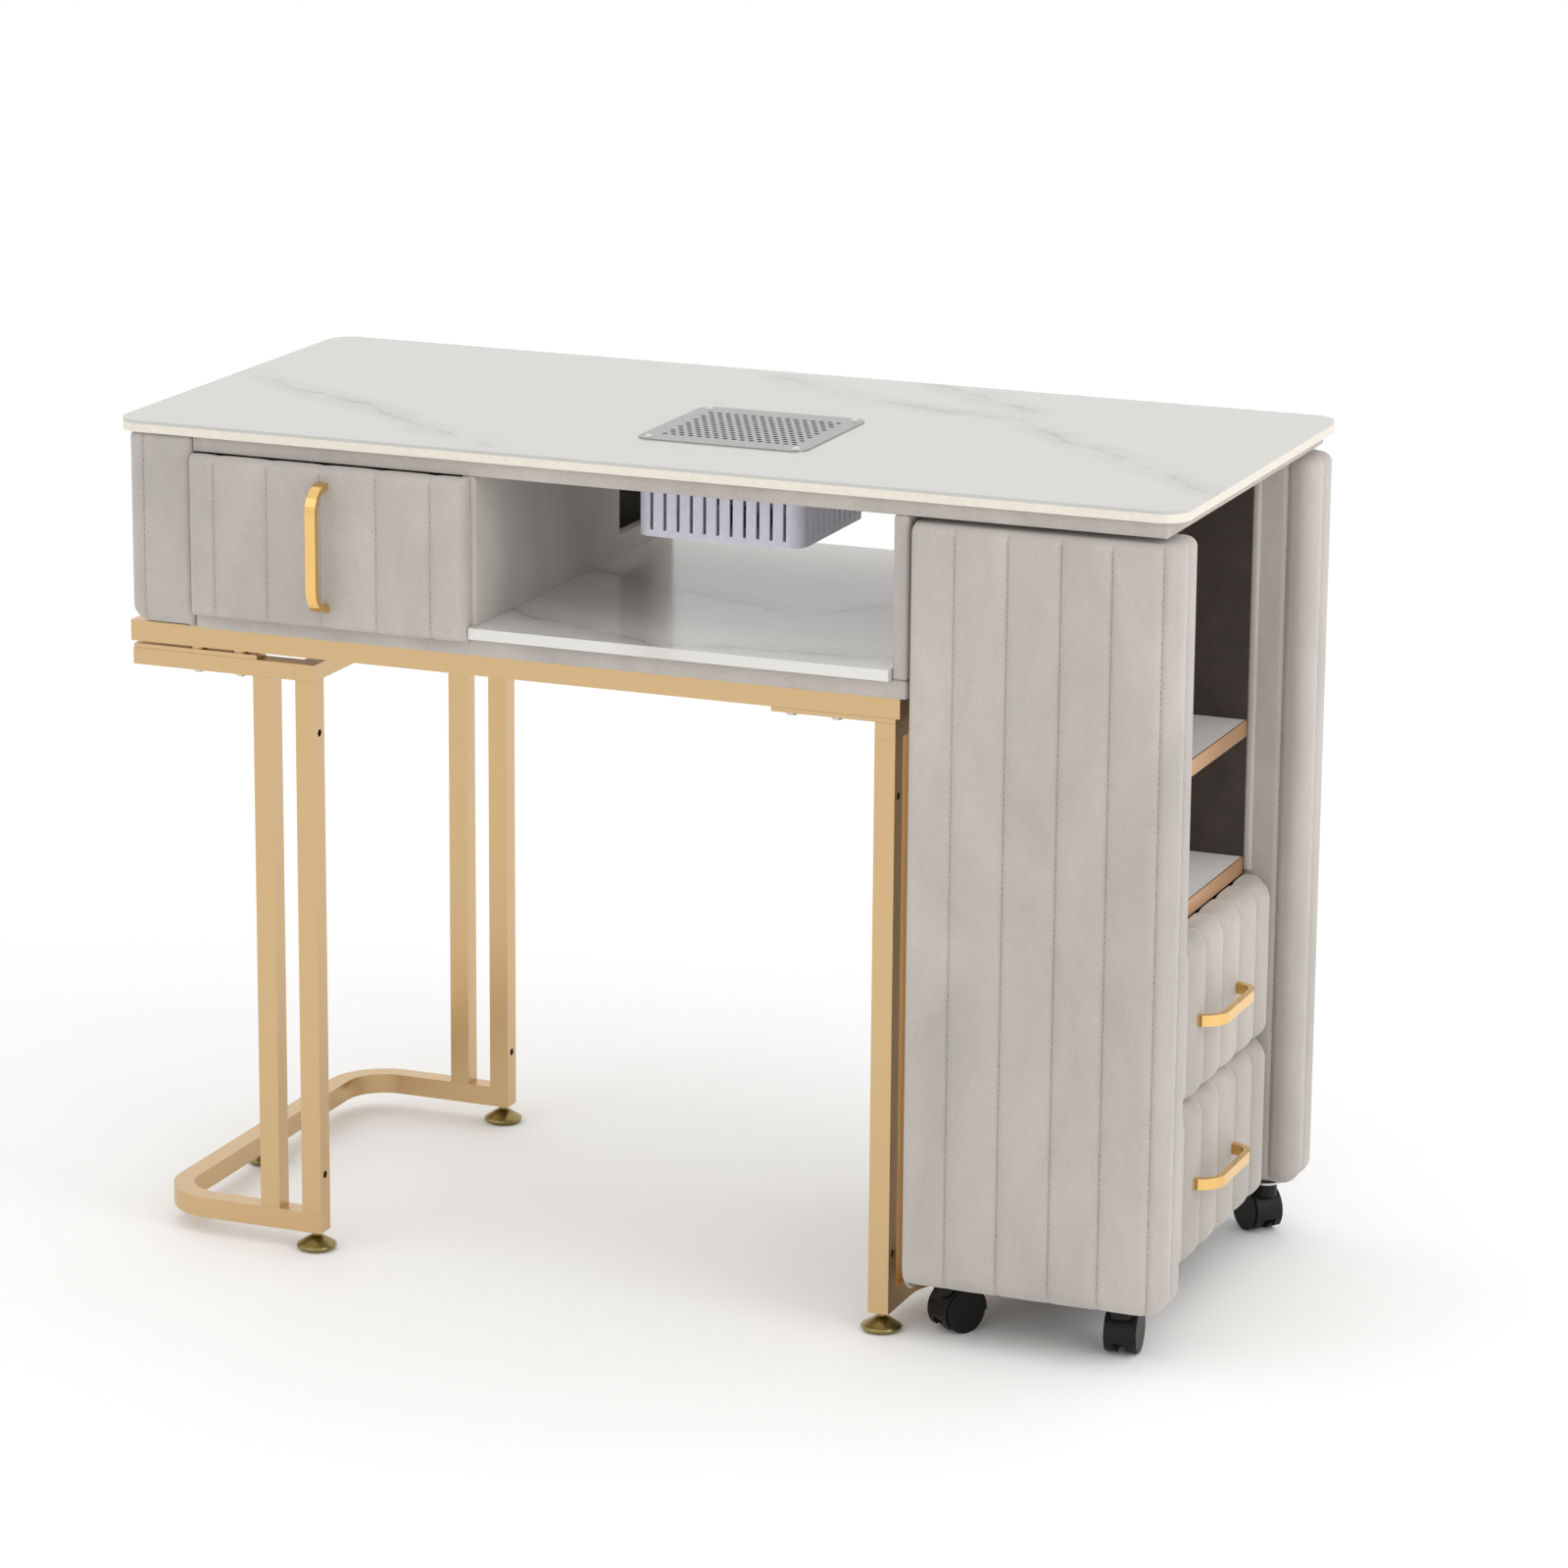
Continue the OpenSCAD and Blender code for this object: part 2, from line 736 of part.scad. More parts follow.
module upper_drawer_box() color(dark_c) placed() cab_drawer_box(1);
module upper_drawer_front() color(velvet_c) placed() cab_drawer_front(1);
module upper_drawer_handle() color(brass_c) placed() cab_drawer_handle(1);
module upper_drawer_runners() color(steel_c) placed() cab_rail_pair(1, true);
module lower_drawer_box() color(dark_c) placed() cab_drawer_box(0);
module lower_drawer_front() color(velvet_c) placed() cab_drawer_front(0);
module lower_drawer_handle() color(brass_c) placed() cab_drawer_handle(0);
module lower_drawer_runners() color(steel_c) placed() cab_rail_pair(0, true);

// ------------------------------------------------------------ the casters

wheel_r = 20;
wheel_w = 10;
wheel_gap = 9;
trail = 12;
pivot_r = 4;
axle_r = 2.5;
caster_plate_z = cab_z0 - 0.1;
caster_x = [787, 949, 964, 789];
caster_y = [41, 43, 411, 411];
caster_turn = [-125, -84, -40, 60];

// Plate with a socket for the stem, let into the padded side's underside
module caster_plates() color("dimgray") placed()
    for (i = [0 : 3])
        translate([caster_x[i], caster_y[i], caster_plate_z - 2])
            difference() {
                cylinder(h = 2, r = 15);
                translate([0, 0, -1])
                    cylinder(h = 4, r = pivot_r + 0.05);
            }

// Hood over the wheels, with its web, axle and stem
module caster_hood(i) color(black_c) placed()
    translate([caster_x[i], caster_y[i], 0])
        rotate([0, 0, caster_turn[i]]) {
            difference() {
                union() {
                    translate([-trail, 0, wheel_r])
                        rotate([90, 0, 0])
                            hood_shell();
                    translate([0, 0, 36])
                        cylinder(h = caster_plate_z - 2.2 - 36, r = 11);
                }
                translate([-trail, 0, wheel_r])
                    rotate([90, 0, 0])
                        for (s = [-1, 1])
                            translate([0, 0, s * (wheel_gap + wheel_w + 3.2) / 2])
                                cylinder(h = wheel_w + 4, r = wheel_r + 0.6, center = true);
            }
            translate([0, 0, 40])
                cylinder(h = caster_plate_z - 40, r = pivot_r);
            translate([-trail, 0, wheel_r])
                rotate([90, 0, 0])
                    cylinder(h = 2 * wheel_w + wheel_gap, r = axle_r, center = true);
        }

// A web between the wheels and a shell over them, low on the stem's side
module hood_shell() {
    hood_r = wheel_r + 2.6;
    difference() {
        intersection() {
            cylinder(h = wheel_gap + 2 * wheel_w - 2, r = hood_r, center = true);
            union() {
                translate([-hood_r, -2, -30])
                    cube([2 * hood_r + 4, hood_r + 2, 60]);
                translate([4, -wheel_r + 6, -30])
                    cube([hood_r, wheel_r, 60]);
            }
        }
        translate([4, -hood_r, -6.5])
            cube([hood_r, 16, 13]);
    }
    cylinder(h = wheel_gap - 1.2, r = wheel_r - 4, center = true);
}

// Twin wheels on the hood's axle
module caster_wheels(i) color([0.2, 0.2, 0.19]) placed()
    translate([caster_x[i], caster_y[i], 0])
        rotate([0, 0, caster_turn[i]])
            translate([-trail, 0, wheel_r])
                rotate([90, 0, 0])
                    for (s = [-1, 1])
                        translate([0, 0, s * (wheel_gap / 2 + wheel_w / 2)])
                            difference() {
                                cylinder(h = wheel_w, r = wheel_r, center = true);
                                cylinder(h = wheel_w + 2, r = axle_r + 0.05, center = true);
                            }

module caster_hood_1() caster_hood(0);
module caster_hood_2() caster_hood(1);
module caster_hood_3() caster_hood(2);
module caster_hood_4() caster_hood(3);
module caster_wheels_1() caster_wheels(0);
module caster_wheels_2() caster_wheels(1);
module caster_wheels_3() caster_wheels(2);
module caster_wheels_4() caster_wheels(3);

// ------------------------------------------------------- levelling feet

foot_r = 18.5;
stem_top = base_z + tube - tube_wall - 2;
inner_left_x = inner_post_x + tube / 2;
right_x = right_post_x + tube / 2;
foot_x = [inner_left_x, inner_left_x, base_left_x + tube / 2, right_x, right_x, bow_end_x + tube / 2];
foot_y = [post_front_y + tube / 2, rear_post_y + tube / 2, top_d / 2,
    post_front_y + tube / 2, rear_post_y + tube / 2, top_d / 2];

// Cone-shaped foot with a lip, and its threaded stem up to the floor tube
module levelling_foot(i) color([0.6, 0.5, 0.26]) placed()
    translate([foot_x[i], foot_y[i], 0])
        rotate_extrude($fn = 64)
            polygon([[0, 0], [foot_r - 4, 0], [foot_r - 1, 2], [foot_r, 4], [foot_r - 1, 5.5],
                [7, 12], [4.5, 13], [stem_r, 13.5], [stem_r, stem_top], [0, stem_top]]);

module levelling_foot_1() levelling_foot(0);
module levelling_foot_2() levelling_foot(1);
module levelling_foot_3() levelling_foot(2);
module levelling_foot_4() levelling_foot(3);
module levelling_foot_5() levelling_foot(4);
module levelling_foot_6() levelling_foot(5);

// ------------------------------------------------------------ the nodes

tabletop_stone();
tabletop_board();
under_top_panel();
left_side_panel();
desk_bottom_panel();
bay_partition_left();
bay_partition_right();
drawer_bay_back();
bay_shelf_plate();
desk_drawer_rails();
upper_frame();
left_leg_frame();
right_leg_frame();
leg_mount_plates();
frame_bolts();
grille_plate();
grille_screws();
fan_housing();
fan_motor();
fan_rotor();
desk_drawer_box();
desk_drawer_front();
desk_drawer_handle();
desk_drawer_runners();
cabinet_front_side();
cabinet_rear_side();
cabinet_left_wall();
cabinet_top_board();
cabinet_inner_walls();
cabinet_shelves();
shelf_edge_bands();
cabinet_base_board();
cabinet_drawer_rails();
caster_plates();
upper_drawer_box();
upper_drawer_front();
upper_drawer_handle();
upper_drawer_runners();
lower_drawer_box();
lower_drawer_front();
lower_drawer_handle();
lower_drawer_runners();
caster_hood_1();
caster_hood_2();
caster_hood_3();
caster_hood_4();
caster_wheels_1();
caster_wheels_2();
caster_wheels_3();
caster_wheels_4();
levelling_foot_1();
levelling_foot_2();
levelling_foot_3();
levelling_foot_4();
levelling_foot_5();
levelling_foot_6();
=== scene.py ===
import json
import math

import bmesh
import bpy
import numpy as np
from mathutils import Matrix, Vector

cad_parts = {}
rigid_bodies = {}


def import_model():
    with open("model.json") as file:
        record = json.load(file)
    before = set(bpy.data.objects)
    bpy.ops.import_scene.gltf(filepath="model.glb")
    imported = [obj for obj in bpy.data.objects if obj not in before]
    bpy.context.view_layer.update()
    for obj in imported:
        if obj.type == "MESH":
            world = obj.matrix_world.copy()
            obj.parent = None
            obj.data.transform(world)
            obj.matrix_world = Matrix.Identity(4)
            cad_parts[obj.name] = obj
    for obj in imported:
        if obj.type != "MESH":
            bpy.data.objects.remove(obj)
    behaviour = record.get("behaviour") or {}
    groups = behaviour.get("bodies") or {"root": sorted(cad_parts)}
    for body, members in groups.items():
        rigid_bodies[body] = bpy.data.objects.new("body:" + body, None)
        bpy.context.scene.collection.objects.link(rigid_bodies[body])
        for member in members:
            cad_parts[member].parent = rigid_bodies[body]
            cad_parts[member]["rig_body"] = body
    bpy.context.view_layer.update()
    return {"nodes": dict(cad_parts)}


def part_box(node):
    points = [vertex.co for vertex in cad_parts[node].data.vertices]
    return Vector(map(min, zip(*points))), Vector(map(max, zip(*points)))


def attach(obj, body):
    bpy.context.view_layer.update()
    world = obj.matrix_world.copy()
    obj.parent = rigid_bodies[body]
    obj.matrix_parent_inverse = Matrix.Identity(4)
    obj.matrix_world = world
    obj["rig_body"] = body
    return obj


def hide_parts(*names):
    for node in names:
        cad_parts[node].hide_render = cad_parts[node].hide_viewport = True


# The looks of a manicure table: stitched velvet pads, veined stone, a gold tube frame,
# a dust extractor and a cabinet on casters. Lengths are in metres, in the CAD model's frame.

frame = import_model()
MM = 0.001
rng = np.random.default_rng(7)

# Fewer points per pad while trying things out
STEP = 2.5 * MM


# ---------------------------------------------------------------- materials

def new_material(name):
    """A material with a fresh Principled shader; returns it with its nodes, links and shader."""
    mat = bpy.data.materials.new(name)
    mat.use_nodes = True
    nodes, links = mat.node_tree.nodes, mat.node_tree.links
    return mat, nodes, links, nodes["Principled BSDF"]


def set_inputs(shader, **values):
    """Sets shader sockets by name, with spaces written as underscores."""
    for key, value in values.items():
        shader.inputs[key.replace("_", " ")].default_value = value


def noise(nodes, links, coords, scale, detail=3.0, roughness=0.5, distortion=0.0):
    """A noise texture on the given coordinates."""
    tex = nodes.new("ShaderNodeTexNoise")
    tex.inputs["Scale"].default_value = scale
    tex.inputs["Detail"].default_value = detail
    tex.inputs["Roughness"].default_value = roughness
    tex.inputs["Distortion"].default_value = distortion
    links.new(coords, tex.inputs["Vector"])
    return tex


def object_coords(nodes, links, scale=(1, 1, 1), turn=(0, 0, 0)):
    """Object coordinates, turned and stretched."""
    where = nodes.new("ShaderNodeTexCoord")
    mapping = nodes.new("ShaderNodeMapping")
    mapping.inputs["Scale"].default_value = scale
    mapping.inputs["Rotation"].default_value = turn
    links.new(where.outputs["Object"], mapping.inputs["Vector"])
    return mapping.outputs["Vector"]


def ramp(nodes, links, factor, stops):
    """A colour ramp through the (position, colour) stops."""
    node = nodes.new("ShaderNodeValToRGB")
    elements = node.color_ramp.elements
    for i, (position, colour) in enumerate(stops):
        element = elements[i] if i < 2 else elements.new(position)
        element.position = position
        element.color = (*colour, 1)
    links.new(factor, node.inputs["Fac"])
    return node.outputs["Color"]


def bump(nodes, links, shader, height, strength, distance):
    """Feeds a height into the shader's normal."""
    node = nodes.new("ShaderNodeBump")
    node.inputs["Strength"].default_value = strength
    node.inputs["Distance"].default_value = distance
    links.new(height, node.inputs["Height"])
    links.new(node.outputs["Normal"], shader.inputs["Normal"])


def velvet(name, colour):
    """Short pile with a soft sheen, cloudy where the nap lies differently."""
    mat, nodes, links, shader = new_material(name)
    coords = object_coords(nodes, links)
    upright = object_coords(nodes, links, (1, 1, 0.45))
    cloud = noise(nodes, links, upright, 11, 5, 0.62, 0.4)
    grain = noise(nodes, links, coords, 620, 2, 0.7)
    mixed = nodes.new("ShaderNodeMath")
    mixed.operation = "MULTIPLY_ADD"
    links.new(grain.outputs["Fac"], mixed.inputs[0])
    mixed.inputs[1].default_value = 0.55
    links.new(cloud.outputs["Fac"], mixed.inputs[2])
    dark = [c * 0.80 for c in colour]
    light = [min(1, c * 1.13) for c in colour]
    nap = ramp(nodes, links, mixed.outputs[0], [(0.45, dark), (1.05, light)])
    links.new(nap, shader.inputs["Base Color"])
    set_inputs(shader, Roughness=0.9, Sheen_Weight=0.35, Sheen_Roughness=0.45,
               Specular_IOR_Level=0.2)
    bump(nodes, links, shader, grain.outputs["Fac"], 0.25, 0.0006)
    return mat


def segment_distance(nodes, links, place, start, end):
    """The distance in plan from a place to the segment between two (x, y) points."""
    start, end = Vector((*start, 0)), Vector((*end, 0))
    along = end - start

    def step(operation, first, second=None, output="Vector"):
        node = nodes.new("ShaderNodeVectorMath")
        node.operation = operation
        links.new(first, node.inputs[0])
        if second is not None:
            node.inputs[1].default_value = second
        return node.outputs[output]

    rel = step("SUBTRACT", place, start)
    share = nodes.new("ShaderNodeMapRange")
    share.inputs["From Max"].default_value = along.length_squared
    links.new(step("DOT_PRODUCT", rel, along, "Value"), share.inputs["Value"])
    foot = nodes.new("ShaderNodeVectorMath")
    foot.operation = "SCALE"
    foot.inputs[0].default_value = along
    links.new(share.outputs[0], foot.inputs["Scale"])
    gap = nodes.new("ShaderNodeVectorMath")
    gap.operation = "DISTANCE"
    links.new(rel, gap.inputs[0])
    links.new(foot.outputs[0], gap.inputs[1])
    return gap.outputs["Value"]


def mix_colours(nodes, links, factor, low, high):
    """Blends two colour sockets."""
    mix = nodes.new("ShaderNodeMix")
    mix.data_type = "RGBA"
    links.new(factor, mix.inputs["Factor"])
    links.new(low, mix.inputs[6])
    links.new(high, mix.inputs[7])
    return mix.outputs[2]


# How far veins stray from their courses, and the half-widths of their core and of their fading
VEIN_WANDER = 0.055
VEIN_CORE, VEIN_FEATHER = 0.0035, 0.03


def stone(name, base, vein, warm, roughness, courses):
    """Pale polished stone with soft veins that wander about the given courses of (x, y) points:
    the vein colour along the course, then warm, then the base."""
    mat, nodes, links, shader = new_material(name)
    coords = object_coords(nodes, links)
    flat = object_coords(nodes, links, (1, 1, 0))
    wander = nodes.new("ShaderNodeVectorMath")
    wander.operation = "MULTIPLY_ADD"
    links.new(noise(nodes, links, flat, 11, 6, 0.62).outputs["Color"], wander.inputs[0])
    wander.inputs[1].default_value = (VEIN_WANDER, VEIN_WANDER, 0)
    links.new(flat, wander.inputs[2])
    shifted = nodes.new("ShaderNodeVectorMath")
    shifted.operation = "SUBTRACT"
    links.new(wander.outputs[0], shifted.inputs[0])
    shifted.inputs[1].default_value = (VEIN_WANDER / 2, VEIN_WANDER / 2, 0)
    nearest = None
    for course in courses:
        for start, end in zip(course[:-1], course[1:]):
            gap = segment_distance(nodes, links, shifted.outputs[0], start, end)
            if nearest is not None:
                least = nodes.new("ShaderNodeMath")
                least.operation = "MINIMUM"
                links.new(nearest, least.inputs[0])
                links.new(gap, least.inputs[1])
                gap = least.outputs[0]
            nearest = gap
    veins = ramp(nodes, links, nearest, [(0.0, vein), (VEIN_CORE, warm), (VEIN_FEATHER, base)])
    tint = noise(nodes, links, coords, 2.2, 3, 0.5)
    cloud = ramp(nodes, links, tint.outputs["Fac"], [(0.35, [c * 0.96 for c in base]), (0.7, base)])
    fade = noise(nodes, links, coords, 14, 4, 0.6)
    strength = ramp(nodes, links, fade.outputs["Fac"],
                    [(0.38, (0.1, 0.1, 0.1)), (0.62, (0.95, 0.95, 0.95))])
    links.new(mix_colours(nodes, links, strength, cloud, veins), shader.inputs["Base Color"])
    set_inputs(shader, Roughness=roughness, Specular_IOR_Level=0.5, Coat_Weight=0.15,
               Coat_Roughness=0.08)
    return mat


def metal(name, colour, roughness, grain_scale=0.0, stretch=(1, 1, 1), flat=0.0):
    """Metal with faint roughness variation. A grain_scale above 0 adds a grain, drawn out by
    stretch, and flat is the share of the metal's look that is plain paint."""
    mat, nodes, links, shader = new_material(name)
    coords = object_coords(nodes, links, stretch)
    cloud = noise(nodes, links, coords, grain_scale or 30, 3, 0.6)
    rough = nodes.new("ShaderNodeMapRange")
    rough.inputs["To Min"].default_value = roughness * 0.85
    rough.inputs["To Max"].default_value = roughness * 1.15
    links.new(cloud.outputs["Fac"], rough.inputs["Value"])
    links.new(rough.outputs[0], shader.inputs["Roughness"])
    set_inputs(shader, Base_Color=(*colour, 1), Metallic=1.0 - flat)
    if grain_scale:
        bump(nodes, links, shader, cloud.outputs["Fac"], 0.12, 0.0003)
    return mat


def plastic(name, colour, roughness, mottle=0.04, scale=160, gloss=0.5):
    """Moulded plastic or board with a faint surface grain."""
    mat, nodes, links, shader = new_material(name)
    coords = object_coords(nodes, links)
    grain = noise(nodes, links, coords, scale, 3, 0.6)
    dark = [c * (1 - mottle) for c in colour]
    light = [min(1, c * (1 + mottle)) for c in colour]
    mottled = ramp(nodes, links, grain.outputs["Fac"], [(0.3, dark), (0.7, light)])
    links.new(mottled, shader.inputs["Base Color"])
    set_inputs(shader, Roughness=roughness, Specular_IOR_Level=gloss)
    bump(nodes, links, shader, grain.outputs["Fac"], 0.06, 0.0004)
    return mat


# The veins' courses across the top, and across the bay's floor and the shelves
TOP_VEINS = [
    [(-0.527, 0.061), (-0.319, -0.063), (-0.141, -0.195)],
    [(-0.030, 0.209), (0.102, 0.142), (0.239, 0.112), (0.363, -0.001), (0.494, -0.124)],
    [(0.065, 0.295), (0.232, 0.160)]]
BAY_VEINS = [
    [(-0.16, -0.13), (0.02, -0.20), (0.24, -0.16)],
    [(-0.14, 0.05), (0.1, -0.05), (0.24, 0.1)]]

# Colours are linear red, green and blue
VELVET = velvet("warm_grey_velvet", (0.47, 0.44, 0.405))
THREAD = plastic("thread", (0.09, 0.08, 0.07), 0.8)
STONE = stone("veined_stone", (0.53, 0.525, 0.50), (0.30, 0.275, 0.24), (0.425, 0.40, 0.365),
              0.22, TOP_VEINS)
BAY_STONE = stone("bay_stone", (0.72, 0.71, 0.68), (0.34, 0.31, 0.28), (0.56, 0.53, 0.49),
                  0.2, BAY_VEINS)
# Painted light: the shelves' stone is a much paler copy of the top's stone, lightened to make up
# for the shade inside the cabinet
SHELF_STONE_PAINTED_LIGHT = stone("shelf_stone_painted_light", (0.90, 0.89, 0.87), (0.5, 0.47, 0.43), (0.75, 0.72, 0.68),
                    0.3, BAY_VEINS)
EDGE = plastic("cream_edge", (0.76, 0.71, 0.62), 0.45)
GOLD_PAINT = metal("champagne_gold", (0.63, 0.44, 0.235), 0.30, 900)
GOLD = metal("polished_gold", (0.86, 0.55, 0.21), 0.10)
BRONZE = metal("antique_bronze", (0.30, 0.235, 0.09), 0.3)
STEEL = metal("brushed_steel", (0.36, 0.36, 0.35), 0.30, 260, (1, 12, 1))
ZINC = metal("zinc", (0.60, 0.60, 0.59), 0.3, 120, (1, 1, 9))
SCREW = metal("screw_steel", (0.68, 0.68, 0.66), 0.2)
LILAC = plastic("pale_lilac_plastic", (0.76, 0.76, 0.88), 0.4)
MOTOR = plastic("motor_black", (0.03, 0.03, 0.032), 0.5)
ROTOR = plastic("rotor_plastic", (0.42, 0.42, 0.50), 0.45)
BLACK = plastic("caster_black", (0.006, 0.006, 0.005), 0.42, gloss=0.25)
BOARD = plastic("dark_board", (0.050, 0.037, 0.030), 0.55, 0.18, 40)
COPPER = metal("copper_band", (0.62, 0.36, 0.19), 0.32, flat=0.35)

NODE_MATERIALS = {
    STONE: ["tabletop_stone"],
    SHELF_STONE_PAINTED_LIGHT: ["cabinet_shelves"],
    BAY_STONE: ["bay_shelf_plate"],
    EDGE: ["tabletop_board"],
    GOLD_PAINT: ["upper_frame", "left_leg_frame", "right_leg_frame", "leg_mount_plates"],
    GOLD: ["desk_drawer_handle", "upper_drawer_handle", "lower_drawer_handle"],
    BRONZE: [f"levelling_foot_{i}" for i in range(1, 7)],
    STEEL: ["grille_plate"],
    SCREW: ["grille_screws", "frame_bolts"],
    ZINC: ["desk_drawer_rails", "desk_drawer_runners", "cabinet_drawer_rails",
           "upper_drawer_runners", "lower_drawer_runners", "caster_plates"],
    LILAC: ["fan_housing"],
    MOTOR: ["fan_motor"],
    ROTOR: ["fan_rotor"],
    BLACK: [f"caster_hood_{i}" for i in range(1, 5)] + [f"caster_wheels_{i}" for i in range(1, 5)],
    BOARD: ["desk_drawer_box", "cabinet_inner_walls", "cabinet_base_board", "upper_drawer_box",
            "lower_drawer_box"],
    COPPER: ["shelf_edge_bands"],
}
# Rounding of the hard pieces' edges, in mm
BEVELS = {"tabletop_stone": 0.8, "tabletop_board": 1.0, "bay_shelf_plate": 0.8, "upper_frame": 1.2,
          "left_leg_frame": 1.2, "right_leg_frame": 1.2, "desk_drawer_handle": 1.0,
          "upper_drawer_handle": 1.0, "lower_drawer_handle": 1.0, "cabinet_shelves": 0.6,
          "leg_mount_plates": 0.6, "fan_housing": 1.2}


def smooth(obj, angle=35):
    """Shades an object smooth but keeps edges sharper than the angle."""
    for poly in obj.data.polygons:
        poly.use_smooth = True
    obj.data.set_sharp_from_angle(angle=math.radians(angle))


for mat, names in NODE_MATERIALS.items():
    for node in names:
        obj = frame["nodes"][node]
        obj.data.materials.clear()
        obj.data.materials.append(mat)
        smooth(obj)
        if node in BEVELS:
            bevel = obj.modifiers.new("soft_edges", "BEVEL")
            bevel.width = BEVELS[node] * MM
            bevel.segments = 2
            bevel.limit_method = "ANGLE"
            bevel.angle_limit = math.radians(40)


# ---------------------------------------------------------------- soft pieces

def body_name(node):
    """The CAD body that a node belongs to."""
    return frame["nodes"][node]["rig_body"]


def make_mesh(name, points, faces, mat):
    """A smooth-shaded mesh object with outward normals."""
    mesh = bpy.data.meshes.new(name)
    mesh.from_pydata([tuple(p) for p in points], [], faces)
    bm = bmesh.new()
    bm.from_mesh(mesh)
    bmesh.ops.recalc_face_normals(bm, faces=bm.faces)
    bm.to_mesh(mesh)
    bm.free()
    obj = bpy.data.objects.new(name, mesh)
    bpy.context.scene.collection.objects.link(obj)
    mesh.materials.append(mat)
    smooth(obj, 50)
    return obj


def upholster(obj, node, stitches=None):
    """Hides a CAD node and puts the pad that stands for it on the node's body, with its stitches as
    a child.
    """
    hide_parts(node)
    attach(obj, body_name(node))
    if stitches:
        made = thread(obj.name + "_stitches", stitches)
        made.parent = obj
    return obj


def thread(name, lines, length=3.4 * MM, gap=1.9 * MM, width=0.95 * MM):
    """Stitches along lines of (point, outward normal) pairs, as small flattened dashes that
    stand up in their middle and dip into the velvet at their ends."""
    stand, dip, lead = 0.5 * MM, 0.3 * MM, 2 * MM
    points, faces = [], []
    for line in lines:
        at = np.array([p for p, _ in line])
        out = np.array([n for _, n in line])
        run = np.concatenate([[0], np.cumsum(np.linalg.norm(np.diff(at, axis=0), axis=1))])
        for start in np.arange(lead, run[-1] - length, length + gap):
            a = np.array([np.interp(start, run, at[:, k]) for k in range(3)])
            b = np.array([np.interp(start + length, run, at[:, k]) for k in range(3)])
            n = np.array([np.interp(start, run, out[:, k]) for k in range(3)])
            side = np.cross(b - a, n)
            side *= width / 2 / np.linalg.norm(side)
            mid = (a + b) / 2
            base = len(points)
            points += [a - n * dip, b - n * dip, mid + side, mid - side, mid + n * stand]
            faces += [(base, base + 2, base + 4), (base + 2, base + 1, base + 4),
                      (base + 1, base + 3, base + 4), (base + 3, base, base + 4),
                      (base, base + 3, base + 2), (base + 1, base + 2, base + 3)]
    return make_mesh(name, points, faces, THREAD)


def outline(x0, y0, x1, y1, radii):
    """A rounded rectangle's (x, y, normal x, normal y) samples, counterclockwise from the left end
    of its -Y side. radii are those at (x0, y0), (x1, y0), (x1, y1) and (x0, y1)."""
    corners = [(x0, y0, 180), (x1, y0, 270), (x1, y1, 0), (x0, y1, 90)]
    rows = []
    for i in (1, 2, 3, 0):
        cx, cy, start = corners[i]
        r = max(radii[i], 0.5 * MM)
        ox = cx - r if cx == x1 else cx + r
        oy = cy - r if cy == y1 else cy + r
        n = max(4, int(r * math.pi / 2 / STEP) + 1)
        for t in np.linspace(0, 90, n):
            a = math.radians(start + t)
            rows.append((ox + r * math.cos(a), oy + r * math.sin(a), math.cos(a), math.sin(a)))
    closed, out = rows + [rows[0]], []
    for a, b in zip(closed[:-1], closed[1:]):
        gap = math.hypot(b[0] - a[0], b[1] - a[1])
        for t in np.linspace(0, 1, max(1, round(gap / STEP)), endpoint=False):
            out.append([a[k] + (b[k] - a[k]) * t for k in range(4)])
    out = np.array(out)
    out[:, 2:] /= np.linalg.norm(out[:, 2:], axis=1)[:, None]
    return out


def crown(t):
    """The rise of a stuffed channel across its width, 0 at its seams and 1 between them."""
    return 1 - np.abs(2 * t - 1) ** 2.6


def near_seams(distance, amount, reach):
    """An amount that is full on a seam and dies out about a reach away from it."""
    return amount * np.exp(-(distance / reach) ** 2)


def rounding(radius, count):
    """Distances from an edge at which its rounding is sampled, closest together at the edge."""
    return radius * (1 - np.cos(np.linspace(0, math.pi / 2, count)))


def stack_faces(n, rows):
    """The faces of a closed stack of rings of n points each, with both ends capped."""
    faces = [(r * n + i, r * n + (i + 1) % n, (r + 1) * n + (i + 1) % n, (r + 1) * n + i)
             for r in range(rows - 1) for i in range(n)]
    return faces + [tuple(range(n))[::-1], tuple((rows - 1) * n + i for i in range(n))]


def channel_rise(s, seams, total):
    """The channels' rise at arc lengths s round a closed outline, and each one's way to a seam."""
    seams = np.sort(np.array(seams))
    wrapped = np.concatenate([[seams[-1] - total], seams, [seams[0] + total]])
    i = np.clip(np.searchsorted(wrapped, s, side="right") - 1, 0, len(wrapped) - 2)
    width = wrapped[i + 1] - wrapped[i]
    near = np.minimum(s - wrapped[i], wrapped[i + 1] - s)
    return crown((s - wrapped[i]) / width), near


# How far seams lie inside the CAD outline, as a share of the channels' swell
SIDE_SEAM_DEPTH, FACE_SEAM_DEPTH = 0.6, 0.35
# The groove that stitches pull along a seam, and the small puckers that cross it
GROOVE, GROOVE_REACH = 1.7 * MM, 1.6 * MM
PUCKER, PUCKER_REACH, PUCKER_PITCH = 0.45 * MM, 7 * MM, 3.1 * MM


